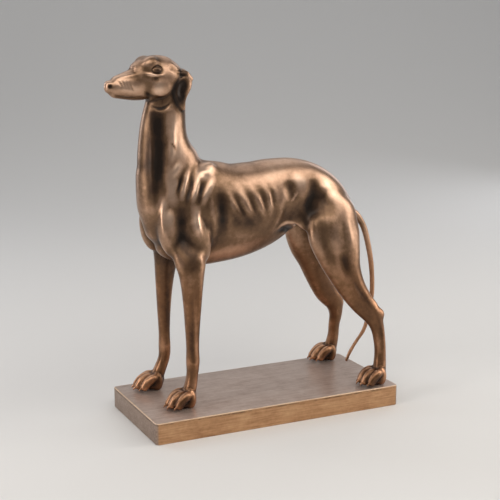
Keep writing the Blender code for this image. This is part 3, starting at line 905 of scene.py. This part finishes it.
def addWearAndPaintedLight(mesh):
    # how far each point stands out of its surroundings, near and broad, which brightens ridges
    # as rubbed wear and darkens hollows as patina and painted shade; then the painted shade,
    # the polish with painted highlights, and how far the surface faces up, painted as light
    # from above
    points = pointsOf(mesh)
    normals = pointsOf(mesh, "normal")
    ends = edgesOf(mesh)
    blurred = points.copy()
    for name, rubs, size in wearAndPaintedLight["reliefs"]:
        for turn in range(rubs):
            blurred += (neighbourMean(blurred, ends) - blurred) * wearAndPaintedLight["blur"]
        relief = ((points - blurred) * normals).sum(axis=1) / size
        relief = neighbourMean(relief[:, None], ends)[:, 0]
        addLayer(mesh, name, 0.5 + 0.5 * np.tanh(relief))
    shade = painted(points, normals, shadeStrokes, headShades)
    headPoints = headAxes(points, normals)[0]
    for side in (left, right):
        for (x, y, z), reach, strength in headSpots:
            shade = np.maximum(shade, dent(headPoints, (x, y * side, z), reach, strength))
    # the polish: edges rubbed bright, and painted highlights
    addLayer(mesh, "polishAndHighlight", painted(points, normals, polishAndHighlightStrokes, headPolishAndHighlight))
    addLayer(mesh, "shade", shade)
    # painted light from above: surfaces that face up are made brighter
    facing = normals[:, 2:]
    for turn in range(wearAndPaintedLight["paintedTopLightRubs"]):
        facing = neighbourMean(facing, ends)
    addLayer(mesh, "paintedTopLight", 0.5 + 0.5 * facing[:, 0])


def addLayer(mesh, name, values):
    layer = mesh.attributes.new(name, "FLOAT", "POINT")
    layer.data.foreach_set("value", np.clip(values, 0, 1))


def buildDog():
    cast = castClay()
    print("clay melted:", len(cast.data.vertices), "points")
    carve(cast.data)
    soften(cast.data, dog["carvedRubs"], trunkShare(pointsOf(cast.data)))
    print("dog carved")
    cast = addEyes(cast)
    thinned(cast)
    addWearAndPaintedLight(cast.data)
    step = dog["withersHeight"] / dog["layoutHeight"]
    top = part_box("plinth")[1][2] + dog["soleGap"]
    cast.data.transform(Matrix.Translation((0, 0, top)) @ Matrix.Scale(step, 4))
    low, high = np.array(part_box("greyhound"))
    setPoints(cast.data, np.clip(pointsOf(cast.data), low, high))
    bpy.ops.object.select_all(action="DESELECT")
    cast.select_set(True)
    bpy.context.view_layer.objects.active = cast
    bpy.ops.object.shade_smooth()
    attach(cast, "root")
    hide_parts("greyhound")
    print("dog done:", len(cast.data.polygons), "faces")
    return cast


# Plinth

board = {
    "cornerRadius": 0.0035,
    "cornerSteps": 5,
    "edgeRadius": 0.0008,
    "edgeSteps": 3,
    # an edge that rises by more than this is an upright one
    "uprightRise": 0.01,
    "smoothAngle": 30,
}


def pickEdges(mesh, upright):
    # the four upright edges, or all the others
    for edge in mesh.edges:
        first, second = (mesh.vertices[i].co for i in edge.vertices)
        edge.select = (abs(first.z - second.z) > board["uprightRise"]) == upright


def buildPlinth():
    low, high = np.array(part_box("plinth"))
    bpy.ops.mesh.primitive_cube_add(size=1, location=(low + high) / 2)
    plinth = bpy.context.object
    plinth.name = "plinthBoard"
    plinth.scale = high - low
    bpy.ops.object.transform_apply(location=True, rotation=True, scale=True)
    bpy.ops.object.mode_set(mode="EDIT")
    bpy.ops.mesh.select_mode(type="EDGE")
    bpy.ops.mesh.select_all(action="DESELECT")
    bpy.ops.object.mode_set(mode="OBJECT")
    pickEdges(plinth.data, True)
    bpy.ops.object.mode_set(mode="EDIT")
    bpy.ops.mesh.bevel(
        offset=board["cornerRadius"], segments=board["cornerSteps"], affect="EDGES"
    )
    bpy.ops.mesh.select_all(action="DESELECT")
    bpy.ops.object.mode_set(mode="OBJECT")
    pickEdges(plinth.data, False)
    bpy.ops.object.mode_set(mode="EDIT")
    bpy.ops.mesh.bevel(offset=board["edgeRadius"], segments=board["edgeSteps"], affect="EDGES")
    bpy.ops.object.mode_set(mode="OBJECT")
    bpy.ops.object.shade_smooth_by_angle(angle=math.radians(board["smoothAngle"]))
    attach(plinth, "root")
    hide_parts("plinth")
    print("plinth done:", len(plinth.data.polygons), "faces")
    return plinth


# Finishes

def link(tree, start, end):
    tree.links.new(start, end)


def ramp(tree, source, stops):
    node = tree.nodes.new("ShaderNodeValToRGB")
    marks = node.color_ramp.elements
    while len(marks) < len(stops):
        marks.new(0.5)
    for mark, (position, colour) in zip(marks, stops):
        mark.position = position
        mark.color = (*colour, 1)
    link(tree, source, node.inputs["Fac"])
    return node.outputs["Color"]


def maths(tree, kind, *values):
    node = tree.nodes.new("ShaderNodeMath")
    node.operation = kind
    for socket, value in zip(node.inputs, values):
        if isinstance(value, (int, float)):
            socket.default_value = value
        else:
            link(tree, value, socket)
    return node.outputs[0]


def noise(tree, where, scale, detail, roughness):
    node = tree.nodes.new("ShaderNodeTexNoise")
    node.inputs["Scale"].default_value = scale
    node.inputs["Detail"].default_value = detail
    node.inputs["Roughness"].default_value = roughness
    link(tree, where, node.inputs["Vector"])
    return node.outputs["Fac"]


def blendColour(tree, amount, first, second, kind="MIX"):
    node = tree.nodes.new("ShaderNodeMix")
    node.data_type = "RGBA"
    node.blend_type = kind
    link(tree, amount, node.inputs[0])
    for socket, value in ((node.inputs[6], first), (node.inputs[7], second)):
        if isinstance(value, tuple):
            socket.default_value = (*value, 1)
        else:
            link(tree, value, socket)
    return node.outputs[2]


# Noises are given as scale, detail and roughness
mottleLook = {
    "clouds": (55, 4, 0.6),
    "cloudShare": 0.65,
    "dabs": (260, 3, 0.6),
    "dabShare": 0.35,
}


def mottleGroup():
    # uneven hand-rubbed paint, about 0.5: broad clouds with finer dabs in them
    group = bpy.data.node_groups.new("rubbedMottle", "ShaderNodeTree")
    group.interface.new_socket("Vector", in_out="INPUT", socket_type="NodeSocketVector")
    group.interface.new_socket("Mottle", in_out="OUTPUT", socket_type="NodeSocketFloat")
    start = group.nodes.new("NodeGroupInput")
    end = group.nodes.new("NodeGroupOutput")
    where = start.outputs["Vector"]
    clouds = noise(group, where, *mottleLook["clouds"])
    dabs = noise(group, where, *mottleLook["dabs"])
    both = maths(group, "MULTIPLY", clouds, mottleLook["cloudShare"])
    both = maths(group, "MULTIPLY_ADD", dabs, mottleLook["dabShare"], both)
    link(group, both, end.inputs["Mottle"])
    return group


def mottle(tree, where):
    node = tree.nodes.new("ShaderNodeGroup")
    node.node_tree = bpy.data.node_groups.get("rubbedMottle") or mottleGroup()
    link(tree, where, node.inputs["Vector"])
    return node.outputs["Mottle"]


def spread(tree, value, low, high):
    # 0 below low, 1 above high and soft between them
    node = tree.nodes.new("ShaderNodeMapRange")
    node.interpolation_type = "SMOOTHSTEP"
    node.inputs["From Min"].default_value = low
    node.inputs["From Max"].default_value = high
    link(tree, value, node.inputs["Value"])
    return node.outputs["Result"]


def nearEdge(tree, value, edge, gaps):
    # 0 further in from the edge than the first gap, 1 closer to it than the second
    return spread(tree, value, edge - gaps[0], edge - gaps[1])


def splitAxes(tree, where):
    axes = tree.nodes.new("ShaderNodeSeparateXYZ")
    link(tree, where, axes.inputs["Vector"])
    return axes.outputs


def between(tree, amount, low, high):
    node = tree.nodes.new("ShaderNodeMapRange")
    node.inputs["To Min"].default_value = low
    node.inputs["To Max"].default_value = high
    link(tree, amount, node.inputs["Value"])
    return node.outputs["Result"]


def newFinish(name):
    made = bpy.data.materials.new(name)
    made.use_nodes = True
    tree = made.node_tree
    where = tree.nodes.new("ShaderNodeTexCoord").outputs["Object"]
    return made, tree, tree.nodes["Principled BSDF"], where


def roughen(tree, shader, height, strength, distance):
    bump = tree.nodes.new("ShaderNodeBump")
    bump.inputs["Strength"].default_value = strength
    bump.inputs["Distance"].default_value = distance
    link(tree, height, bump.inputs["Height"])
    link(tree, bump.outputs["Normal"], shader.inputs["Normal"])


bronzeLook = {
    "stops": (
        (0.10, (0.024, 0.016, 0.012)),
        (0.32, (0.075, 0.042, 0.025)),
        (0.52, (0.200, 0.115, 0.064)),
        (0.72, (0.500, 0.312, 0.208)),
        (0.95, (0.750, 0.515, 0.370)),
    ),
    # the lower half is redder: its tint, and the heights where that begins and is full
    "lowerTint": (0.94, 0.78, 0.64),
    "lowerHeights": (0.175, 0.115),
    # where it is darkest and where it is brightest
    "roughness": (0.44, 0.30),
    # how much each layer adds to the brightness of the metal
    "weights": {
        "fineRelief": 0.36,
        "broadRelief": 0.44,
        "paintedTopLight": 0.34,
        "shade": -0.46,
        "polishAndHighlight": 0.35,
    },
    "mottle": 0.50,
    "middle": 0.47,
    "metallic": 0.92,
    "coat": 0.20,
    "coatRoughness": 0.30,
    "grain": (700, 3, 0.55),
    "grainStrength": 0.06,
    "grainDepth": 0.001,
}


def bronzeMaterial():
    made, tree, shader, where = newFinish("antiqueBronze")
    look = bronzeLook
    shader.inputs["Metallic"].default_value = look["metallic"]
    shader.inputs["Coat Weight"].default_value = look["coat"]
    shader.inputs["Coat Roughness"].default_value = look["coatRoughness"]
    # the reliefs and the painted light from above are 0.5 where the surface is plain
    plain = sum(look["weights"][name] for name in ("fineRelief", "broadRelief", "paintedTopLight"))
    flat = look["middle"] - (look["mottle"] + plain) / 2
    level = maths(tree, "MULTIPLY_ADD", mottle(tree, where), look["mottle"], flat)
    # each layer brightens or darkens the metal: reliefs for rubbed wear and patina with painted
    # shade, painted shade, polish with painted highlights, and painted light from above
    for name, weight in look["weights"].items():
        layer = tree.nodes.new("ShaderNodeAttribute")
        layer.attribute_name = name
        level = maths(tree, "MULTIPLY_ADD", layer.outputs["Fac"], weight, level)
    metal = ramp(tree, level, look["stops"])
    height = splitAxes(tree, where)["Z"]
    lower = spread(tree, height, *look["lowerHeights"])
    metal = blendColour(tree, lower, metal, look["lowerTint"], "MULTIPLY")
    link(tree, metal, shader.inputs["Base Color"])
    link(tree, between(tree, level, *look["roughness"]), shader.inputs["Roughness"])
    grain = noise(tree, where, *look["grain"])
    roughen(tree, shader, grain, look["grainStrength"], look["grainDepth"])
    return made


plinthLook = {
    # one brushed paint in three tones painted for the light on each face: the top lighter and
    # greyer as a painted reflection, the short sides darker as painted shade
    "top": (
        (0.25, (0.365, 0.245, 0.190)),
        (0.50, (0.530, 0.405, 0.340)),
        (0.78, (0.650, 0.535, 0.470)),
    ),
    "long": (
        (0.25, (0.330, 0.165, 0.075)),
        (0.50, (0.520, 0.290, 0.145)),
        (0.78, (0.680, 0.430, 0.235)),
    ),
    "short": (
        (0.25, (0.200, 0.138, 0.104)),
        (0.50, (0.320, 0.235, 0.185)),
        (0.78, (0.420, 0.325, 0.265)),
    ),
    # the bright edge line: rubbed wear and a painted highlight
    "edgeWearAndHighlight": (0.820, 0.590, 0.380),
    "darkLine": (0.085, 0.042, 0.022),
    # the sides, and the top
    "roughness": (0.52, 0.34),
    "metallic": 0.55,
    # brush marks are drawn out along the board
    "stretch": (0.10, 1.0, 1.6),
    "streaks": (420, 4, 0.65),
    "streakShare": 0.75,
    "mottleShare": 0.75,
    "levelShift": -0.25,
    "streakStrength": 0.12,
    "streakDepth": 0.001,
    # distances in from the edges where each effect begins and is full
    "topGaps": (0.0009, 0.0002),
    "endGaps": (0.003, 0.001),
    "lineGaps": (0.0030, 0.0020),
    "rimGaps": (0.0011, 0.0006),
    "rimDepths": (0.0012, 0.0006),
    # where the mottle breaks the dark line and the bright edge, rubbed and painted as a
    # highlight, into patches
    "patches": (0.40, 0.58),
    "lineStrength": 0.7,
    "edgeWearAndHighlightLeast": 0.35,
    "edgeWearAndHighlightMore": 0.5,
}


def plinthMaterial():
    made, tree, shader, where = newFinish("brushedPlinth")
    look = plinthLook
    length, width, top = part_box("plinth")[1]
    shader.inputs["Metallic"].default_value = look["metallic"]
    stretch = tree.nodes.new("ShaderNodeMapping")
    stretch.inputs["Scale"].default_value = look["stretch"]
    link(tree, where, stretch.inputs["Vector"])
    streaks = noise(tree, stretch.outputs["Vector"], *look["streaks"])
    level = maths(tree, "MULTIPLY", mottle(tree, where), look["mottleShare"])
    level = maths(tree, "MULTIPLY_ADD", streaks, look["streakShare"], level)
    level = maths(tree, "ADD", level, look["levelShift"])
    x, y, z = splitAxes(tree, where)
    aside = maths(tree, "ABSOLUTE", x)
    across = maths(tree, "ABSOLUTE", y)
    onTop = nearEdge(tree, z, top, look["topGaps"])
    onEnd = nearEdge(tree, aside, length, look["endGaps"])
    # the sides take their painted light and shade tones
    longSides = ramp(tree, level, look["long"])
    shortSides = ramp(tree, level, look["short"])
    sides = blendColour(tree, onEnd, longSides, shortSides)
    # a dark line just under the top edge, and a bright line along the edge itself, rubbed
    # bright and painted as a highlight
    patchy = spread(tree, mottle(tree, where), *look["patches"])
    darkened = maths(tree, "MULTIPLY", patchy, look["lineStrength"])
    under = nearEdge(tree, z, top, look["lineGaps"])
    sides = blendColour(tree, maths(tree, "MULTIPLY", under, darkened), sides, look["darkLine"])
    colour = blendColour(tree, onTop, sides, ramp(tree, level, look["top"]))
    longRim = nearEdge(tree, across, width, look["rimGaps"])
    shortRim = nearEdge(tree, aside, length, look["rimGaps"])
    rim = maths(tree, "MAXIMUM", longRim, shortRim)
    edgeWearAndHighlightMask = maths(tree, "MULTIPLY", rim, nearEdge(tree, z, top, look["rimDepths"]))
    edgeWearAndHighlightShare = maths(tree, "MULTIPLY_ADD", patchy, look["edgeWearAndHighlightMore"], look["edgeWearAndHighlightLeast"])
    edgeWearAndHighlightMask = maths(tree, "MULTIPLY", edgeWearAndHighlightMask, edgeWearAndHighlightShare)
    colour = blendColour(tree, edgeWearAndHighlightMask, colour, look["edgeWearAndHighlight"])
    link(tree, colour, shader.inputs["Base Color"])
    link(tree, between(tree, onTop, *look["roughness"]), shader.inputs["Roughness"])
    roughen(tree, shader, streaks, look["streakStrength"], look["streakDepth"])
    return made


def dress(piece, finish):
    piece.data.materials.clear()
    piece.data.materials.append(finish)


# Run

addCamera()
addStudio()
print("camera and studio set")
dress(buildDog(), bronzeMaterial())
dress(buildPlinth(), plinthMaterial())
print("finishes laid on")
